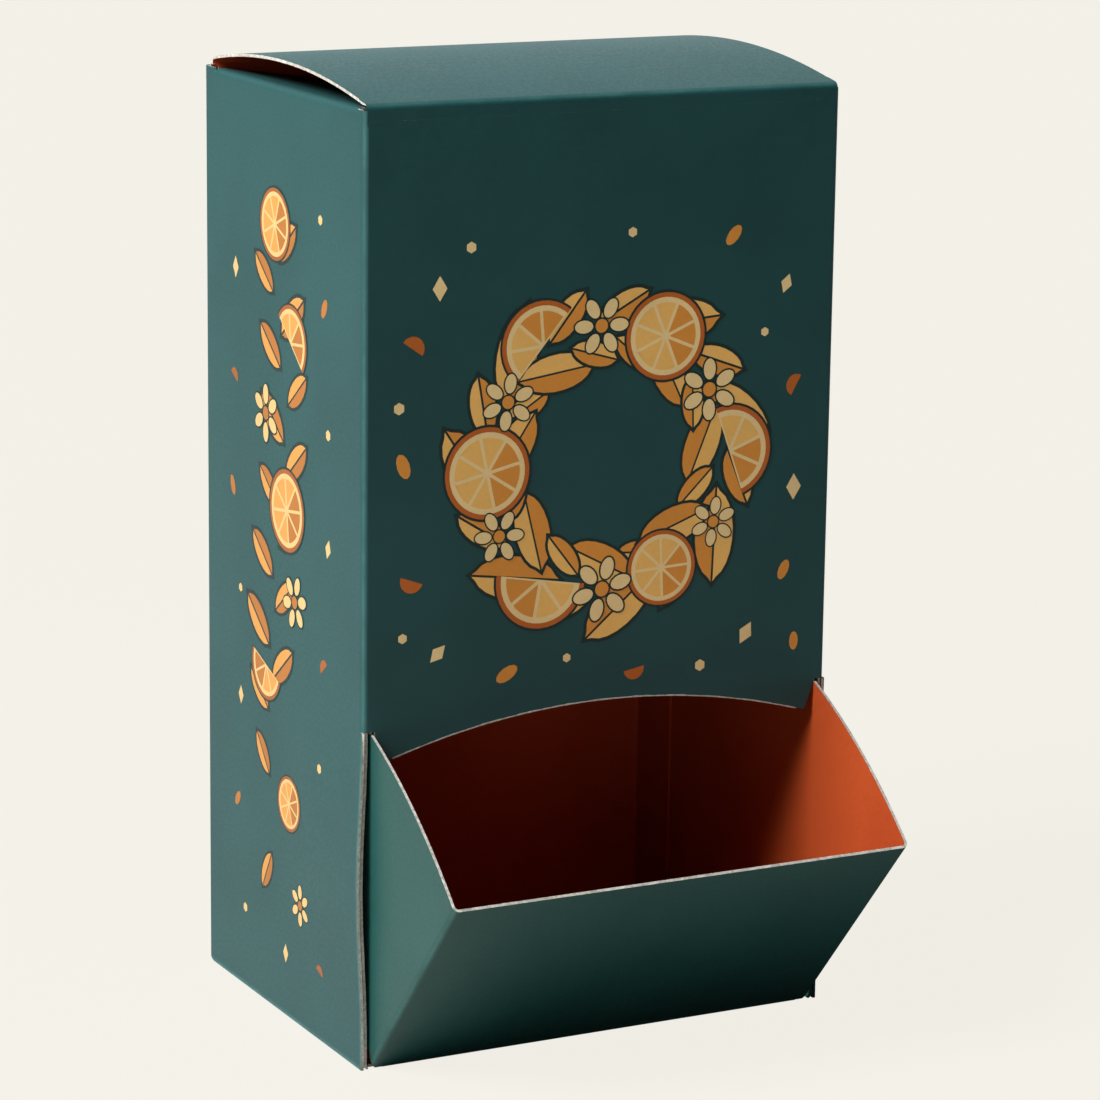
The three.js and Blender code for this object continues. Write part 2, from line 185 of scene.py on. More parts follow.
def build_grain():
    outputs = [(label, "NodeSocketFloat") for label in ("Speckle", "Cloud", "Height")]
    group, start, end = new_group("paper_grain", [("Fineness", "NodeSocketFloat", 1.0)], outputs)
    place = add_node(group, "TexCoord").outputs["Object"]
    fine = math_node(group, "MULTIPLY", start.outputs["Fineness"], SPECKLE_SCALE)
    speckle = noise(group, place, fine, 4.0, 0.7)
    cloud = noise(group, place, CLOUD_SCALE, 3.0, 0.5)
    fibre = noise(group, place, math_node(group, "MULTIPLY", fine, FIBRE_FINENESS), 2.0, 0.5)
    height = math_node(group, "MULTIPLY", speckle, 0.6)
    height = math_node(group, "ADD", height, math_node(group, "MULTIPLY", fibre, 0.4))
    group.links.new(spread(group, speckle, 0.3, 0.7), end.inputs["Speckle"])
    group.links.new(spread(group, cloud, 0.35, 0.65), end.inputs["Cloud"])
    group.links.new(height, end.inputs["Height"])
    return group


grain = build_grain()
print("paper grain group:", len(grain.nodes), "nodes")

# %% [markdown]
# ## Rubbed folds with a painted highlight
# Where board folds, the ink stretches over the outside of the crease and cracks into a paler line. The pale
# band is also painted highlight, standing in for the light that a rounded fold catches. How far a point is
# from
# a fold is simple arithmetic on its place: near a vertical fold it is close to a side and to the front or
# back at once. The group turns that distance into a mask and breaks it up with noise.

# %% Build the group for fold wear and painted fold highlight
FOLD_BAND_REACH = 1.2 * MM
FOLD_BAND_PATCH_SCALE = 160.0


# The mask is partly real rubbed wear and partly a painted highlight along the folds.
def build_fold_wear_and_highlight():
    inputs = [
        ("Vector", "NodeSocketVector", None),
        ("Half Width", "NodeSocketFloat", HALF_WIDTH),
        ("Half Depth", "NodeSocketFloat", HALF_DEPTH),
        ("Top", "NodeSocketFloat", FRONT_HEIGHT),
        ("Reach", "NodeSocketFloat", FOLD_BAND_REACH),
    ]
    group, start, end = new_group("fold_wear_and_highlight", inputs, [("Mask", "NodeSocketFloat")])
    axes = add_node(group, "SeparateXYZ", [(0, start.outputs["Vector"])]).outputs

    def inside(value, limit):
        return math_node(group, "SUBTRACT", start.outputs[limit], math_node(group, "ABSOLUTE", value))

    from_side = inside(axes["X"], "Half Width")
    from_front = inside(axes["Y"], "Half Depth")
    from_top = math_node(group, "SUBTRACT", start.outputs["Top"], axes["Z"])
    upright = math_node(group, "MAXIMUM", from_side, from_front)
    wall = math_node(group, "MINIMUM", from_side, from_front)
    rim = math_node(group, "MAXIMUM", wall, math_node(group, "MINIMUM", from_top, axes["Z"]))
    nearest = math_node(group, "MINIMUM", upright, rim)
    patches = noise(group, start.outputs["Vector"], FOLD_BAND_PATCH_SCALE, 4.0, 0.65)
    patches = spread(group, patches, 0.32, 0.68, 0.45, 1.0)
    band = math_node(group, "SUBTRACT", 1.0, math_node(group, "DIVIDE", nearest, start.outputs["Reach"]))
    mask = math_node(group, "MULTIPLY", spread(group, band, 0.0, 1.0), patches)
    group.links.new(mask, end.inputs["Mask"])
    return group


fold_wear_and_highlight = build_fold_wear_and_highlight()
print("fold wear group:", len(fold_wear_and_highlight.nodes), "nodes")

# %% [markdown]
# ## Three finishes of one sheet
# The sheet is dark teal outside and orange-red inside, and its cut edges are bare pulp. Each finish mixes a
# deeper and a paler tone of its colour by the grain, so that no area is one flat tint, and keeps a soft
# sheen: ink on board shines a little at a low angle. The cut edge has coarse fibres instead. The pale fold
# band, rubbed wear and painted highlight at once, knows upright folds only, so on the open scoop its places
# are first turned as if the scoop were shut.

# %% Helpers that build a printed finish
INK_GRAIN = 0.04 * MM
PULP_GRAIN = 0.1 * MM


def linear(red, green, blue):
    def channel(value):
        value /= 255
        return value / 12.92 if value <= 0.04045 else ((value + 0.055) / 1.055) ** 2.4

    return (channel(red), channel(green), channel(blue), 1.0)


def use_group(tree, group, values=()):
    return add_node(tree, "Group", values, node_tree=group)


def mix_colours(tree, factor, first, second):
    return add_node(tree, "Mix", [(0, factor), (6, first), (7, second)], data_type="RGBA").outputs[2]


def start_material(name, roughness, gloss):
    material = bpy.data.materials.new(name)
    material.use_nodes = True
    tree = material.node_tree
    shader = tree.nodes["Principled BSDF"]
    shader.inputs["Roughness"].default_value = roughness
    shader.inputs["Specular IOR Level"].default_value = gloss
    return material, tree, shader


def add_bump(tree, shader, height, distance, strength=0.3):
    values = [("Height", height), ("Distance", distance), ("Strength", strength)]
    bump = add_node(tree, "Bump", values)
    tree.links.new(bump.outputs[0], shader.inputs["Normal"])


def turned_shut(tree, place):
    centred = [("Vector", place), ("Location", -scoop_axis)]
    place = add_node(tree, "Mapping", centred).outputs[0]
    turned = [("Vector", place), ("Rotation", (-SCOOP_OPEN, 0, 0)), ("Location", scoop_axis)]
    return add_node(tree, "Mapping", turned).outputs[0]


def printed(name, deep, pale, fold=None, gloss=0.38, roughness=0.5, on_scoop=False):
    material, tree, shader = start_material(name, roughness, gloss)
    paper = use_group(tree, grain)
    tone = math_node(tree, "MULTIPLY", paper.outputs["Cloud"], 0.6)
    tone = math_node(tree, "ADD", tone, math_node(tree, "MULTIPLY", paper.outputs["Speckle"], 0.4))
    colour = mix_colours(tree, tone, deep, pale)
    if fold:
        place = add_node(tree, "TexCoord").outputs["Object"]
        half_width = HALF_WIDTH
        if on_scoop:
            place = turned_shut(tree, place)
            half_width = SCOOP_HALF_WIDTH
        # Paler band along the folds: rubbed ink and painted highlight.
        fold_band = use_group(tree, fold_wear_and_highlight, [("Vector", place), ("Half Width", half_width)])
        colour = mix_colours(tree, fold_band.outputs["Mask"], colour, fold)
    tree.links.new(colour, shader.inputs["Base Color"])
    rough = spread(tree, paper.outputs["Speckle"], 0.0, 1.0, roughness - 0.06, roughness + 0.06)
    tree.links.new(rough, shader.inputs["Roughness"])
    add_bump(tree, shader, paper.outputs["Height"], INK_GRAIN)
    return material


# %% Make the print, the inside and the cut edge
TEAL_DEEP = linear(17, 64, 65)
TEAL_PALE = linear(23, 71, 72)
# Paler teal of the fold band, partly painted highlight.
TEAL_FOLD = linear(56, 104, 102)
SCOOP_DEEP = linear(20, 66, 62)
SCOOP_PALE = linear(26, 73, 69)
ORANGE_DEEP = linear(158, 63, 26)
ORANGE_PALE = linear(172, 72, 31)
PULP_DEEP = linear(148, 143, 134)
PULP_PALE = linear(206, 204, 197)
PULP_STAIN = linear(140, 128, 112)
teal = printed("teal_print", TEAL_DEEP, TEAL_PALE, TEAL_FOLD)
teal_scoop = printed("teal_print_scoop", SCOOP_DEEP, SCOOP_PALE, TEAL_FOLD, on_scoop=True)
orange = printed("orange_inside", ORANGE_DEEP, ORANGE_PALE, gloss=0.2, roughness=0.65)


def cut_edge():
    material, tree, shader = start_material("cut_board_edge", 0.85, 0.2)
    paper = use_group(tree, grain, [("Fineness", 0.8)])
    pulp = mix_colours(tree, paper.outputs["Speckle"], PULP_DEEP, PULP_PALE)
    stain = math_node(tree, "MULTIPLY", paper.outputs["Cloud"], 0.25)
    tree.links.new(mix_colours(tree, stain, pulp, PULP_STAIN), shader.inputs["Base Color"])
    add_bump(tree, shader, paper.outputs["Height"], PULP_GRAIN, 0.6)
    return material


edge = cut_edge()
print("finishes:", teal.name, teal_scoop.name, orange.name, edge.name)

# %% [markdown]
# ## Dressing the folded board
# The solids are the folded sheet already, so each is copied and merged into one skin. Every face then gets
# the finish of its side of the sheet. A ray sent back through the board tells a main face from a cut edge:
# it leaves after one thickness from a main face, and only much later from an edge. A face that looks
# towards the middle of the space it encloses is the inside of the sheet. A few small faces of the carton go
# their own way: outer faces that the ray meets end on, and the ends of some folds. Cut edges deep inside
# the box get the orange inside finish, as painted shade, and the small faces at the foot of the front
# corners get the dark print, as painted shade too.

# %% Copy a solid and give each face its side of the sheet
BOARD = 0.6 * MM
EDGE_DEPTH = 1.8 * BOARD
WELD = 0.002 * MM
NUDGE = 0.01 * MM
OUTER_SKIN = 0.1 * MM
SQUARE_ON = 0.9
INNER_DEPTH = 39 * MM
INNER_TOP = 196 * MM
CORNER_FOOT = 197.5 * MM
CORNER_WIDTH = 1.6 * MM
FOOT_INSIDE = 50 * MM
FOOT_DEPTH = -35 * MM
FOOT_TOP = 14 * MM
SMOOTH_ANGLE = math.radians(32)
PRINT, INSIDE, CUT = 0, 1, 2


def side_of_sheet(node, skin, face, middle):
    place, normal = face.center, face.normal
    hit, _, _, depth = skin.ray_cast(place - normal * NUDGE, -normal)
    raw = hit is not None and depth > EDGE_DEPTH
    if node == "carton":
        from_middle = abs(place.x)
        on_side = from_middle > HALF_WIDTH - OUTER_SKIN and normal.x * place.x > SQUARE_ON * from_middle
        on_back = place.y > HALF_DEPTH - OUTER_SKIN and normal.y > SQUARE_ON
        raw = raw and not (on_side or on_back)
        # Faces at the foot of the front corners get the dark print: painted shade, where the inside and cut
        # edges lie in shadow.
        foot_in_painted_shade = from_middle > FOOT_INSIDE and place.y < FOOT_DEPTH and place.z < FOOT_TOP
        if foot_in_painted_shade and (place.x > 0 or not raw):
            return PRINT
        at_corner = from_middle > HALF_WIDTH - CORNER_WIDTH and place.y > 0 and place.z > CORNER_FOOT
        if at_corner and abs(normal.y) > SQUARE_ON:
            return PRINT
        # Cut edges deep inside the box get the orange inside finish instead of pale pulp: painted shade.
        if raw and 0 < place.y < INNER_DEPTH and place.z < INNER_TOP:
            return INSIDE
    if raw:
        return CUT
    return INSIDE if normal.dot(middle - place) > 0 else PRINT


def dressed(node, name, middle, outside):
    activate(frame["nodes"][node])
    bpy.ops.object.duplicate()
    copy = bpy.context.object
    bpy.ops.object.parent_clear(type="CLEAR_KEEP_TRANSFORM")
    copy.name = name
    copy.data.name = name
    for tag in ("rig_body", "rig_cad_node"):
        if tag in copy:
            del copy[tag]
    edit(copy, "VERT")
    bpy.ops.mesh.remove_doubles(threshold=WELD)
    bpy.ops.object.mode_set(mode="OBJECT")
    mesh = copy.data
    mesh.materials.clear()
    for material in (outside, orange, edge):
        mesh.materials.append(material)
    skin = BVHTree.FromPolygons([v.co for v in mesh.vertices], [list(p.vertices) for p in mesh.polygons])
    for face in mesh.polygons:
        face.material_index = side_of_sheet(node, skin, face, middle)
    bpy.ops.object.shade_smooth_by_angle(angle=SMOOTH_ANGLE)
    weighted = copy.modifiers.new("weighted", "WEIGHTED_NORMAL")
    weighted.keep_sharp = True
    bpy.ops.object.modifier_apply(modifier=weighted.name)
    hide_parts(node)
    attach(copy, node if node != "carton" else "box")
    counts = [sum(f.material_index == k for f in mesh.polygons) for k in (PRINT, INSIDE, CUT)]
    print(name, "faces printed, inside, cut:", counts)
    return copy


box_middle = Vector((0, 0, FRONT_HEIGHT / 2))
scoop_middle = Vector((0, -51 * MM, 45 * MM))
carton = dressed("carton", "carton_board", box_middle, teal)
lid = dressed("lid", "lid_board", box_middle, teal)
scoop = dressed("scoop", "scoop_board", scoop_middle, teal_scoop)

# %% [markdown]
# ## The right wall's free edge
# Both side walls bow out beside the scoop, but on the right the wing leans against the wall, and its edge
# hardly shows. The wall's corners there are drawn back towards the wing, by a share that dies away towards
# the slit's top, the base and the back, so that the panel stays one smooth curve.

# %% Draw the right wall's free edge in
SLIT_TOP = 72.9 * MM
BOW_FOOT = 6 * MM
BOW_REACH = 45 * MM
EASED_FROM = 53.4 * MM
EASE = 1.5 * MM


def ease_right_wall():
    for corner in carton.data.vertices:
        if corner.co.x > EASED_FROM and BOW_FOOT < corner.co.z < SLIT_TOP:
            nearness = min(max((BOW_REACH - HALF_DEPTH - corner.co.y) / BOW_REACH, 0), 1)
            rise = (corner.co.z - BOW_FOOT) / (SLIT_TOP - BOW_FOOT)
            share = nearness ** 2 * (3 - 2 * nearness) * math.sin(math.pi * rise) ** 2
            corner.co.x -= EASE * share


ease_right_wall()
reach = max(v.co.x for v in carton.data.vertices)
print("right wall's free edge now reaches", round(reach / MM, 2), "mm")

# %% [markdown]
# ## The upper ends of the corners
# The dust flaps and the lid fold away from the walls, and each corner between them is a fold that runs on to
# the top. It is about a quarter of a small cylinder: the faces outside its arc are deleted, and the rest
# gets a thin wall. The front ones are lower and narrower, to clear the lid's fold that turns beside them.

# %% Model the four corners' upper ends
CORNER_RADIUS = 1.4 * MM
CORNER_WALL = 0.1 * MM
WALL_TOP = 198.3 * MM
FRONT_TOP = 200.7 * MM
BACK_TOP = 201.3 * MM
SEAM_STEP = 0.8 * MM


def keep_arc(tube, centre, across, up, first, last):
    edit(tube)
    bpy.ops.mesh.select_all(action="DESELECT")
    bpy.ops.object.mode_set(mode="OBJECT")
    for face in tube.data.polygons:
        ray = face.center - centre
        angle = math.degrees(math.atan2(ray[up], ray[across])) % 360
        face.select = not first < angle < last
    bpy.ops.object.mode_set(mode="EDIT")
    bpy.ops.mesh.delete(type="FACE")
    bpy.ops.object.mode_set(mode="OBJECT")


def corner_end(across, deep, first, last, top):
    deselect_all()
    centre = Vector((across, deep, (top + WALL_TOP) / 2))
    bpy.ops.mesh.primitive_cylinder_add(
        vertices=120, radius=CORNER_RADIUS, depth=top - WALL_TOP, end_fill_type="NOTHING", location=centre,
    )
    column = bpy.context.object
    bpy.ops.object.transform_apply()
    keep_arc(column, centre, 0, 1, first, last)
    return column


def corner_ends():
    front, back = -HALF_DEPTH + CORNER_RADIUS, HALF_DEPTH - CORNER_RADIUS
    side = HALF_WIDTH - CORNER_RADIUS
    columns = [
        corner_end(-side, front, 180, 246, FRONT_TOP),
        corner_end(side, front, 294, 360, FRONT_TOP),
        corner_end(-side, back, 90, 180, BACK_TOP),
        corner_end(side - SEAM_STEP, back, 0, 90, BACK_TOP),
    ]
    deselect_all()
    for column in columns:
        column.select_set(True)
    bpy.context.view_layer.objects.active = columns[0]
    bpy.ops.object.join()
    ends = bpy.context.object
    ends.name = "corner_ends"
    bpy.ops.object.transform_apply()
    thicken(ends, CORNER_WALL, -1)
    bpy.ops.object.shade_smooth_by_angle(angle=SMOOTH_ANGLE)
    ends.data.materials.append(teal)
    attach(ends, "box")
    return ends


ends = corner_ends()
print("corner faces:", len(ends.data.polygons))

# %% [markdown]
# ## The lid's crease
# The real lid isn't hung on anything: the front panel simply folds over into it. The solids leave a narrow
# groove there so that the lid can turn. A thin strip of the same print closes it, made from nearly a quarter
# of a cylinder with a tail down the front and a tail onto the lid.

# %% Model the strip that bends between the front and the lid
CREASE_RADIUS = 1.54 * MM
CREASE_TAIL = 3 * MM
CREASE_WALL = 0.04 * MM
CREASE_INSET = 0.75 * MM
CREASE_ARC = (102, 180)
LID_SLOPE = math.radians(11.9)
DIP = math.radians(1.6)


def lid_crease():
    deselect_all()
    bpy.ops.mesh.primitive_cylinder_add(
        vertices=60, radius=CREASE_RADIUS, depth=2 * (HALF_WIDTH - CREASE_INSET), end_fill_type="NOTHING",
        location=lid_axis, rotation=(0, math.pi / 2, 0),
    )
    strip = bpy.context.object
    strip.name = "lid_crease"
    bpy.ops.object.transform_apply()
    keep_arc(strip, lid_axis, 1, 2, *CREASE_ARC)
    bpy.ops.object.mode_set(mode="EDIT")
    down = Vector((0, math.sin(DIP), -math.cos(DIP)))
    along_lid = Vector((0, math.cos(LID_SLOPE - DIP), math.sin(LID_SLOPE - DIP)))
    for lowest, way in ((True, down), (False, along_lid)):
        bpy.ops.mesh.select_mode(type="EDGE")
        bpy.ops.mesh.select_all(action="DESELECT")
        bpy.ops.object.mode_set(mode="OBJECT")
        heights = [v.co.z for v in strip.data.vertices]
        level = min(heights) if lowest else max(heights)
        for line in strip.data.edges:
            line.select = all(abs(heights[k] - level) < NUDGE for k in line.vertices)
        bpy.ops.object.mode_set(mode="EDIT")
        bpy.ops.mesh.extrude_region_move(TRANSFORM_OT_translate={"value": way * CREASE_TAIL})
    bpy.ops.object.mode_set(mode="OBJECT")
    thicken(strip, CREASE_WALL, -1)
    bpy.ops.object.shade_smooth_by_angle(angle=SMOOTH_ANGLE)
    strip.data.materials.append(teal)
    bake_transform(strip)
    return strip


crease = lid_crease()
print("crease faces:", len(crease.data.polygons))

# %% [markdown]
# ## The arch's burr
# The knife that cuts the arch presses a fine burr of pale pulp out along its edge, which shows as a hairline
# between the dark print and the inside. It is the top of a big circle: the circle's line is kept where it
# follows the arch, drawn up into a narrow band, made a little ragged and given a thickness.

# %% Model the burr along the arch
ARCH_END = (49.1 * MM, 66.4 * MM)
ARCH_CROWN = 73.9 * MM
BURR = 0.28 * MM
BURR_WALL = 0.06 * MM
BURR_LIFT = 0.03 * MM
RAGGED = 0.045 * MM
RAGGED_WAVES = (2300, 5100)


def arch_burr():
    rise = ARCH_CROWN - ARCH_END[1]
    radius = (ARCH_END[0] ** 2 + rise ** 2) / (2 * rise)
    deselect_all()
    bpy.ops.mesh.primitive_circle_add(
        vertices=720, radius=radius, location=(0, -HALF_DEPTH - BURR_LIFT, ARCH_CROWN - radius),
        rotation=(math.pi / 2, 0, 0),
    )
    burr = bpy.context.object
    burr.name = "arch_burr"
    bpy.ops.object.transform_apply()
    edit(burr, "VERT")
    bpy.ops.mesh.select_all(action="DESELECT")
    bpy.ops.object.mode_set(mode="OBJECT")
    for corner in burr.data.vertices:
        corner.select = corner.co.z < ARCH_END[1]
    bpy.ops.object.mode_set(mode="EDIT")
    bpy.ops.mesh.delete(type="VERT")
    bpy.ops.mesh.select_all(action="SELECT")
    bpy.ops.mesh.extrude_region_move(TRANSFORM_OT_translate={"value": (0, 0, BURR)})
    bpy.ops.mesh.select_all(action="SELECT")
    bpy.ops.mesh.normals_make_consistent()
    bpy.ops.object.mode_set(mode="OBJECT")
    coarse, fine = RAGGED_WAVES
    for corner in burr.data.vertices:
        wobble = math.sin(corner.co.x * coarse) + math.sin(corner.co.x * fine + 1)
        arch = ARCH_CROWN - radius + math.sqrt(radius ** 2 - corner.co.x ** 2)
        if corner.co.z > arch + BURR / 2:
            corner.co.z += RAGGED * wobble
    thicken(burr, BURR_WALL, 0)
    burr.data.materials.append(edge)
    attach(burr, "box")
    return burr


burr = arch_burr()
print("burr faces:", len(burr.data.polygons))

# %% [markdown]
# ## Inks
# The print uses a few flat inks: two golds, a cream, a rust and a dark line colour. Ink soaks into board
# unevenly, so each ink is mixed from two close tones by the same grain as the board. The front's inks are
# painted paler, as painted light for the front that lies in shade, and the side panel, which faces the
# lamp, gets deeper copies of them, as painted shade.

# %% Make the inks
def ink(name, red, green, blue, depth=0.86):
    pale = linear(red, green, blue)
    deep = (*(value * depth for value in pale[:3]), 1.0)
    return printed(name, deep, pale, gloss=0.3)


GOLD, AMBER, CREAM, RUST, LINE = range(5)
# The front's inks are painted paler: painted light for the shaded front.
front_inks_painted_light = [
    ink("ink_gold", 242, 188, 102),
    ink("ink_amber", 222, 146, 58),
    ink("ink_cream", 238, 208, 148),
    ink("ink_rust", 188, 98, 32),
    ink("ink_line", 24, 48, 44),
]
# Deeper copies of the same inks for the lamp-facing side: painted shade.
side_inks_painted_shade = [
    ink("ink_gold_side", 198, 140, 68),
    ink("ink_amber_side", 164, 102, 42),
    ink("ink_cream_side", 204, 172, 114),
    ink("ink_rust_side", 146, 82, 34),
    ink("ink_line_side", 20, 44, 42),
]
print("inks:", len(front_inks_painted_light) + len(side_inks_painted_shade))

# %% [markdown]
# ## Motifs
# The print is a garland of leaves, sliced fruit and small blossoms, with loose bits strewn round it. Each
# motif is drawn once as a flat piece in the plane of the front: a disc is squeezed, pointed or cut in half,
# then inset. After every inset the faces still selected get the next ink, so the ring left behind keeps the
# last one and becomes an outline, a rind or a rib.

# %% Helpers that draw a flat motif
def flat_disc(name, radius, corners, ink_slot):
    deselect_all()
    bpy.ops.mesh.primitive_circle_add(
        vertices=corners, radius=radius, fill_type="NGON", rotation=(math.pi / 2, 0, 0),
    )
    disc = bpy.context.object
    disc.name = name
    bpy.ops.object.transform_apply()
    for material in front_inks_painted_light:
        disc.data.materials.append(material)
    edit(disc)
    fill(disc, ink_slot)
    return disc


def fill(piece, ink_slot):
    piece.active_material_index = ink_slot
    bpy.ops.object.material_slot_assign()


def ring_in(piece, width, ink_slot, each=False):
    bpy.ops.mesh.inset(thickness=width, depth=0, use_individual=each)
    fill(piece, ink_slot)


def cut_across(angles):
    for angle in map(math.radians, angles):
        bpy.ops.mesh.select_all(action="SELECT")
        way = (math.cos(angle), 0, math.sin(angle))
        bpy.ops.mesh.bisect(plane_co=(0, 0, 0), plane_no=way)


def cut_lower_half():
    bpy.ops.mesh.select_all(action="SELECT")
    bpy.ops.mesh.bisect(plane_co=(0, 0, 0), plane_no=(0, 0, -1), clear_outer=True)


def part_fields(piece, rib, rib_slot, field_slot):
    bpy.ops.mesh.select_all(action="DESELECT")
    piece.active_material_index = field_slot
    bpy.ops.object.material_slot_select()
    fill(piece, rib_slot)
    ring_in(piece, rib, field_slot, each=True)


def finish_motif(piece):
    bpy.ops.object.mode_set(mode="OBJECT")
    piece.hide_render = True
    return piece


def shade_fields(piece, beyond):
    bpy.ops.object.mode_set(mode="OBJECT")
    for face in piece.data.polygons:
        if face.material_index == GOLD and face.center.x > beyond:
            face.material_index = AMBER


# %% Draw a leaf, a slice and half a slice
OUTLINE = 0.45 * MM
LEAF_RIB = 0.22 * MM
LEAF_DISCS = 2.3
LEAF_TIP = 0.065


def leaf(name, length, width):
    piece = flat_disc(name, length / LEAF_DISCS, 22, LINE)
    bpy.ops.transform.resize(value=(LEAF_DISCS * width / (2 * length), 1, 1))
    bpy.ops.object.mode_set(mode="OBJECT")
    for corner in piece.data.vertices:
        if abs(corner.co.x) < NUDGE:
            corner.co.z += math.copysign(LEAF_TIP * length, corner.co.z)
    bpy.ops.object.mode_set(mode="EDIT")
    ring_in(piece, OUTLINE, GOLD)
    cut_across([0])
    part_fields(piece, LEAF_RIB, LINE, GOLD)
    shade_fields(piece, 0)
    return finish_motif(piece)


def sliced_fruit(name, radius, half=False):
    piece = flat_disc(name, radius, 38, LINE)
    ring_in(piece, OUTLINE, RUST)
    ring_in(piece, 0.1 * radius, CREAM)
    ring_in(piece, 0.08 * radius, GOLD)
    if half:
        cut_lower_half()
    cut_across((0, 45, 135) if half else (22.5, 67.5, 112.5, 157.5))
    part_fields(piece, 0.035 * radius, CREAM, GOLD)
    shade_fields(piece, 0.15 * radius)
    return finish_motif(piece)


# %% Draw a blossom and the loose bits
INK_STEP = 0.02 * MM


def copy_of(piece, spot=(0, 0, 0), turn=0.0, size=1.0, layer=0, face=Matrix.Identity(4)):
    activate(piece)
    bpy.ops.object.duplicate()
    copy = bpy.context.object
    copy.hide_render = False
    place = Matrix.Translation(spot) @ Matrix.Translation((0, -layer * INK_STEP, 0))
    copy.matrix_world = face @ place @ Matrix.Rotation(turn, 4, "Y") @ Matrix.Diagonal((size, 1, size, 1))
    return copy


def joined(pieces, name):
    deselect_all()
    for piece in pieces:
        piece.select_set(True)
    bpy.context.view_layer.objects.active = pieces[0]
    bpy.ops.object.join()
    whole = bpy.context.object
    whole.name = name
    whole.data.name = name
    bpy.ops.object.transform_apply()
    return whole


def blossom(name, reach, petals=6):
    petal = flat_disc(name + "_petal", reach * 0.3, 16, LINE)
    bpy.ops.transform.resize(value=(0.86, 1, 1.25))
    bpy.ops.transform.translate(value=(0, 0, reach * 0.62))
    ring_in(petal, OUTLINE * 0.8, CREAM)
    finish_motif(petal)
    eye = flat_disc(name + "_eye", reach * 0.27, 16, LINE)
    ring_in(eye, OUTLINE * 0.8, AMBER)
    finish_motif(eye)
    step = 2 * math.pi / petals
    parts = [copy_of(petal, turn=step * k, layer=0.2 * (k % 2)) for k in range(petals)]
    parts.append(copy_of(eye, layer=0.5))
    flower = joined(parts, name)
    bpy.data.objects.remove(petal)
    bpy.data.objects.remove(eye)
    flower.hide_render = True
    return flower


def bit(name, radius, corners, ink_slot, stretch=1.0, half=False):
    piece = flat_disc(name, radius, corners, ink_slot)
    bpy.ops.transform.resize(value=(1, 1, stretch))
    if half:
        cut_lower_half()
    return finish_motif(piece)


motifs = {
    "leaf": leaf("leaf", 21 * MM, 9.5 * MM),
    "small_leaf": leaf("small_leaf", 14 * MM, 6.5 * MM),
    "slice": sliced_fruit("slice", 8.5 * MM),
    "half_slice": sliced_fruit("half_slice", 9.5 * MM, half=True),
    "blossom": blossom("blossom", 7 * MM),
    "diamond": bit("diamond", 1.5 * MM, 4, CREAM, stretch=1.6),
    "seed": bit("seed", 1.2 * MM, 12, AMBER, stretch=1.9),
    "moon": bit("moon", 2.2 * MM, 20, RUST, half=True),
    "crumb": bit("crumb", 1.0 * MM, 6, CREAM),
}
print("motifs:", {name: len(piece.data.polygons) for name, piece in motifs.items()})

# %% [markdown]
# ## Laying out the print
# On the front, the leaves run round a wreath with slices and blossoms between them, and the loose bits lie
# round it. On the left side a stem of smaller leaves climbs the panel. Every copy has its own mesh. The
# copies of one panel are joined and given the thickness of a coat of ink. The side's are first pressed onto
# the board by a Shrinkwrap modifier, so that they follow its bow.

# %% Place the copies on the front and on the left side
INK_LIFT = 0.03 * MM
INK_COAT = 0.006 * MM
PRESS_REACH = 3 * MM
on_front = Matrix.Translation((0, -HALF_DEPTH - INK_LIFT, 0))
on_left = Matrix.Translation((-HALF_WIDTH - INK_LIFT, 0, 0)) @ Matrix.Rotation(-math.pi / 2, 4, "Z")


def lay(face, rows):
    copies = []
    for kind, across, up, turn, size, layer in rows:
        spot = (across * MM, 0, up * MM)
        copies.append(copy_of(motifs[kind], spot, math.radians(turn), size, layer, face))
    return copies


WREATH_LEAVES = 15
fruit_and_blossoms = [
    ("slice", 28, 1, 0, 1.15), ("half_slice", 92, 2, 70, 1.1), ("slice", 152, 1, 20, 1.0),
    ("blossom", 62, 0, 0, 1.0), ("half_slice", 212, 2, 190, 1.15), ("slice", 268, 1, 10, 1.2),
    ("blossom", 182, 1, 15, 1.05), ("half_slice", 328, 2, 310, 1.05), ("blossom", 300, 0, 8, 0.9),
    ("blossom", 122, 3, 8, 0.8), ("blossom", 240, 2, 30, 0.85), ("blossom", 356, 1, 30, 0.95),
]


def wreath(centre_across, centre_up, radius):
    def spot(angle, out):
        a = math.radians(angle)
        return centre_across + (radius + out) * math.sin(a), centre_up + (radius + out) * math.cos(a)

    rows = []
    for k in range(WREATH_LEAVES):
        kind = "leaf" if k % 2 else "small_leaf"
        at = 360 * k / WREATH_LEAVES
        rows.append((kind, *spot(at + 6, 4.8), at + 62, 1.12, 0.5 * (k % 3)))
        rows.append((kind, *spot(at + 15, -4.6), at + 130, 0.95, 1.5 + 0.5 * (k % 3)))
    for kind, angle, out, turn, size in fruit_and_blossoms:
        layer = 4 if kind == "blossom" else 3
        rows.append((kind, *spot(angle, out), turn, size, layer))
    return rows


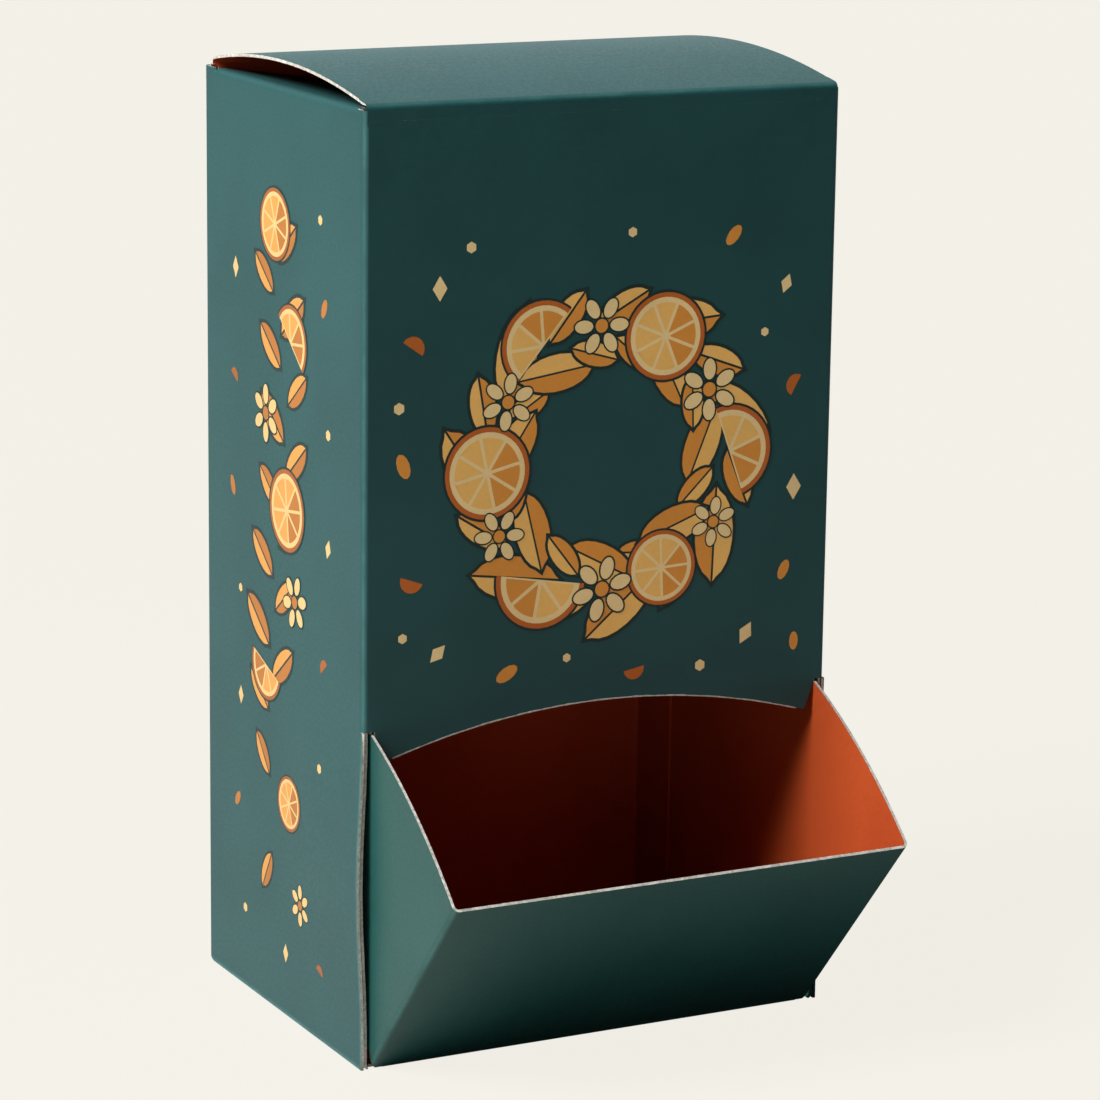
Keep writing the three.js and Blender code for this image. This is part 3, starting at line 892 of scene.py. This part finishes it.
front_bits = [
    ("diamond", -38, 164, 0, 1.1, 0), ("moon", -44, 152, 35, 1.2, 0), ("crumb", -31, 172, 0, 1.2, 0),
    ("seed", 30, 171, 40, 1.1, 0), ("diamond", 43, 160, 20, 0.9, 0), ("crumb", 38, 150, 0, 1.0, 0),
    ("moon", 46, 138, -60, 1.1, 0), ("seed", -46, 128, -20, 1.2, 0), ("crumb", -47, 140, 0, 1.3, 0),
    ("diamond", 46, 116, 0, 1.2, 0), ("seed", 44, 98, 25, 1.0, 0), ("moon", -44, 104, 200, 1.2, 0),
    ("diamond", -38, 88, 45, 1.0, 0), ("crumb", -46, 92, 0, 1.1, 0), ("seed", -22, 82, 60, 1.2, 0),
    ("moon", 8, 80, 170, 1.1, 0), ("crumb", 24, 79, 0, 1.3, 0), ("diamond", 35, 85, 30, 1.1, 0),
    ("crumb", -8, 84, 0, 1.0, 0), ("seed", 47, 82, 0, 0.9, 0), ("crumb", 6, 173, 0, 1.1, 0),
]
front_rows = wreath(1, 126, 27) + front_bits
print("front copies:", len(front_rows))

# %% Draw the climbing stem of the left side
STEM_LEAVES = 14
STEM_FOOT, STEM_STEP = 70, 7.6
SWAY, SWAY_LENGTH = 4, 17


def climbing_stem():
    rows = []
    for k in range(STEM_LEAVES):
        up = STEM_FOOT + STEM_STEP * k
        sway = SWAY * math.sin(up / SWAY_LENGTH)
        side = 1 if k % 2 else -1
        rows.append(("small_leaf", -2 + sway + side * 6.5, up, side * 52, 1.0 + 0.12 * (k % 3), k % 2))
    rows += [
        ("slice", -3, 172, 0, 0.95, 3), ("half_slice", 5, 148, 40, 0.9, 3), ("blossom", -8, 131, 0, 0.95, 3),
        ("slice", 3, 112, 15, 1.1, 3), ("blossom", 7, 93, 20, 0.9, 3), ("half_slice", -8, 76, 200, 0.85, 3),
    ]
    rows += [
        ("slice", 4, 48, 0, 0.75, 0), ("small_leaf", -10, 56, -40, 0.9, 0),
        ("small_leaf", -8, 30, 30, 0.85, 0), ("blossom", 10, 27, 0, 0.7, 0),
        ("diamond", -24, 160, 0, 1.0, 0), ("crumb", 20, 176, 0, 1.1, 0), ("seed", 22, 158, 30, 1.0, 0),
        ("moon", -25, 136, 30, 0.9, 0), ("crumb", 24, 132, 0, 1.2, 0), ("diamond", 24, 108, 15, 0.9, 0),
        ("seed", -26, 112, -20, 1.0, 0), ("crumb", -22, 90, 0, 1.0, 0), ("moon", 22, 82, -40, 0.9, 0),
        ("diamond", -22, 66, 0, 0.9, 0), ("crumb", 20, 60, 0, 1.1, 0), ("seed", -24, 42, 40, 0.9, 0),
        ("crumb", 22, 40, 0, 1.0, 0), ("diamond", 2, 14, 0, 0.9, 0), ("crumb", -20, 18, 0, 1.1, 0),
        ("moon", 20, 15, 20, 0.8, 0),
    ]
    return rows


side_rows = climbing_stem()
print("side copies:", len(side_rows))


# %% Join each panel's print and press the side's onto the board
def press_onto_wall(panel):
    press = panel.modifiers.new("press", "SHRINKWRAP")
    press.target = carton
    press.wrap_method = "PROJECT"
    press.wrap_mode = "ABOVE_SURFACE"
    press.use_project_x = True
    press.use_negative_direction = True
    press.use_positive_direction = True
    press.project_limit = PRESS_REACH
    lifts = [-HALF_WIDTH - v.co.x for v in panel.data.vertices]
    bpy.ops.object.modifier_apply(modifier=press.name)
    for corner, lift in zip(panel.data.vertices, lifts):
        corner.co.x -= lift
    print(panel.name, "is pressed onto the wall")


def printed_panel(name, face, rows, inks, bowed):
    panel = joined(lay(face, rows), name)
    for slot_index, material in enumerate(inks):
        panel.data.materials[slot_index] = material
    if bowed:
        press_onto_wall(panel)
    thicken(panel, INK_COAT, -1)
    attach(panel, "box")
    return panel


front_print = printed_panel("front_print", on_front, front_rows, front_inks_painted_light, bowed=False)
side_print = printed_panel("side_print", on_left, side_rows, side_inks_painted_shade, bowed=True)
for piece in motifs.values():
    bpy.data.objects.remove(piece)
print("print faces:", len(front_print.data.polygons), len(side_print.data.polygons))

# %% [markdown]
# ## Camera
# The photograph looks down a little from the front left, from far away. The lens is long, so the box's
# uprights stay nearly parallel. Its place and turn were worked out from the box's corners and are written
# as angles about the box and a distance in box heights.

# %% Place the camera
CAMERA_ANGLES = (-27.38, 12.96, 0.755)
CAMERA_BACK, CAMERA_RIGHT, CAMERA_UP = 4.6166, 0.0395, 0.4721
FOCAL_PIXELS = 4181.3
PICTURE_PIXELS = 1100
SENSOR = 36


def place_camera():
    azimuth, elevation, roll = (math.radians(angle) for angle in CAMERA_ANGLES)
    level_share = math.cos(elevation)
    back = Vector((math.sin(azimuth) * level_share, -math.cos(azimuth) * level_share, math.sin(elevation)))
    right = (-back).cross(Vector((0, 0, 1))).normalized()
    up = right.cross(-back)
    spot = (back * CAMERA_BACK + right * CAMERA_RIGHT + up * CAMERA_UP) * FRONT_HEIGHT
    rolled_right = right * math.cos(roll) + up * math.sin(roll)
    rolled_up = up * math.cos(roll) - right * math.sin(roll)
    turn = Matrix((rolled_right, rolled_up, back)).transposed().to_4x4()
    deselect_all()
    bpy.ops.object.camera_add()
    camera = bpy.context.object
    camera.matrix_world = Matrix.Translation(spot) @ turn
    camera.data.sensor_width = SENSOR
    camera.data.lens = SENSOR * FOCAL_PIXELS / PICTURE_PIXELS
    camera.data.clip_start = 0.01
    bpy.context.scene.camera = camera
    return camera


camera = place_camera()
print("camera lens in mm:", round(camera.data.lens, 1))

# %% [markdown]
# ## Light and floor
# One big soft lamp stands high on the left, which makes the side panel and the lid pale and leaves the front
# deep. A weak second lamp low in front lifts the shadows a little. The floor and the backdrop are one warm
# white. What the camera and shiny surfaces see of them is set apart from the light that they give, so that
# the white stays even and the print's sheen comes from behind and from the left, as in a studio.

# %% Light the box
BACKDROP = linear(243, 240, 232)
COOL_HAZE = (0.84, 1.0, 1.01, 1.0)
ROOM_COLOUR = (0.9, 0.95, 1.0, 1.0)
ROOM_STRENGTH = 0.06
TARGET = Vector((0, 0, 0.1))


def soft_lamp(name, way, distance, size, strength, colour=(1, 1, 1)):
    deselect_all()
    way = Vector(way).normalized()
    bpy.ops.object.light_add(type="AREA", location=TARGET + way * distance)
    lamp = bpy.context.object
    lamp.name = name
    lamp.rotation_euler = way.to_track_quat("Z", "Y").to_euler()
    lamp.data.size = size
    lamp.data.color = colour
    lamp.data.energy = strength * math.pi ** 2 * distance ** 2
    return lamp


key_lamp = soft_lamp(
    "key_lamp", (-0.74, -0.075, 0.68), distance=2.0, size=0.9, strength=1.95, colour=(1, 0.99, 0.98),
)
fill_lamp = soft_lamp("fill_lamp", (-0.45, -0.89, 0.02), distance=1.6, size=0.5, strength=0.08)


def light_room():
    world = bpy.data.worlds.new("studio")
    bpy.context.scene.world = world
    world.use_nodes = True
    tree = world.node_tree
    rays = add_node(tree, "LightPath").outputs
    axes = add_node(tree, "SeparateXYZ", [(0, add_node(tree, "TexCoord").outputs["Generated"])]).outputs
    behind = spread(tree, axes["Y"], -0.25, 0.5)
    behind = math_node(tree, "MULTIPLY", behind, spread(tree, axes["X"], -0.5, 0.1, 0.28, 1.0))
    seen = math_node(tree, "MAXIMUM", rays["Is Camera Ray"], rays["Is Transmission Ray"])
    seen = math_node(tree, "MAXIMUM", seen, math_node(tree, "MULTIPLY", behind, rays["Is Glossy Ray"]))
    room = tree.nodes["Background"]
    room.inputs["Color"].default_value = ROOM_COLOUR
    room.inputs["Strength"].default_value = ROOM_STRENGTH
    sky = mix_colours(tree, rays["Is Glossy Ray"], BACKDROP, COOL_HAZE)
    backdrop = add_node(tree, "Background", [("Color", sky)])
    both = add_node(tree, "MixShader", [(0, seen), (1, room.outputs[0]), (2, backdrop.outputs[0])])
    tree.links.new(both.outputs[0], tree.nodes["World Output"].inputs[0])


light_room()
bpy.context.scene.view_settings.view_transform = "Standard"
print("lamps:", key_lamp.name, fill_lamp.name)

# %% [markdown]
# ## One floor for each kind of ray
# The camera sees an even white with a trace of the box's shadow. Light bounces off a grey floor, which is
# paler on the left of the box. Shiny surfaces see the white only behind the box and by its left side, and
# almost black in front of it, and that keeps the front panel deep.

# %% Lay the floor
FLOOR_RADIUS = 30
SHADOW_SHARE = 0.035
FLOOR_DEEP = linear(178, 176, 172)
FLOOR_PALE = linear(184, 182, 178)
FLOOR_BESIDE = linear(214, 212, 206)
FLOOR_BEFORE = linear(20, 20, 20)


def bounce_tone(tree, axes, beside, glossy):
    clouds = use_group(tree, grain).outputs["Cloud"]
    tone = mix_colours(tree, clouds, FLOOR_DEEP, FLOOR_PALE)
    tone = mix_colours(tree, beside, tone, FLOOR_BESIDE)
    before = math_node(tree, "MULTIPLY", spread(tree, axes["Y"], -0.7, -0.3, 1.0, 0.0), glossy)
    return mix_colours(tree, before, tone, FLOOR_BEFORE)


def floor_material():
    material = bpy.data.materials.new("pale_floor")
    material.use_nodes = True
    tree = material.node_tree
    tree.nodes.remove(tree.nodes["Principled BSDF"])
    rays = add_node(tree, "LightPath").outputs
    place = add_node(tree, "TexCoord").outputs["Object"]
    axes = add_node(tree, "SeparateXYZ", [(0, place)]).outputs
    behind = spread(tree, axes["Y"], 0.1, 0.5)
    behind = math_node(tree, "MULTIPLY", behind, spread(tree, axes["X"], -0.5, 0.0, 0.2, 1.0))
    beside = spread(tree, axes["X"], -0.06, -0.05, 1.0, 0.0)
    beside_foot = math_node(tree, "MULTIPLY", beside, spread(tree, axes["X"], -0.55, -0.2, 0.2, 1.0))
    seen = math_node(tree, "MAXIMUM", behind, beside_foot)
    seen = math_node(tree, "MULTIPLY", seen, rays["Is Glossy Ray"])
    seen = math_node(tree, "MAXIMUM", seen, rays["Is Camera Ray"])
    seen = math_node(tree, "MAXIMUM", seen, rays["Is Transmission Ray"])
    tone = bounce_tone(tree, axes, beside, rays["Is Glossy Ray"])
    dim = add_node(tree, "BsdfDiffuse", [("Color", tone)])
    matte = add_node(tree, "BsdfDiffuse", [("Color", BACKDROP)])
    glow = add_node(tree, "Emission", [("Color", BACKDROP)])
    far = add_node(tree, "VectorMath", [(0, place)], operation="LENGTH").outputs["Value"]
    share = math_node(tree, "MULTIPLY", spread(tree, far, 0.1, 0.6, 1.0, 0.0), SHADOW_SHARE)
    even = add_node(tree, "MixShader", [(0, share), (1, glow.outputs[0]), (2, matte.outputs[0])])
    both = add_node(tree, "MixShader", [(0, seen), (1, dim.outputs[0]), (2, even.outputs[0])])
    tree.links.new(both.outputs[0], tree.nodes["Material Output"].inputs[0])
    return material


def pale_floor():
    deselect_all()
    bpy.ops.mesh.primitive_circle_add(vertices=96, radius=FLOOR_RADIUS, fill_type="NGON")
    floor = bpy.context.object
    floor.name = "floor"
    floor.data.materials.append(floor_material())
    return floor


floor = pale_floor()
print("floor faces:", len(floor.data.polygons))

# %% [markdown]
# ## End of the notebook
# The dressed model stays as big as the imported one.

# %% Finish
print("notebook done")
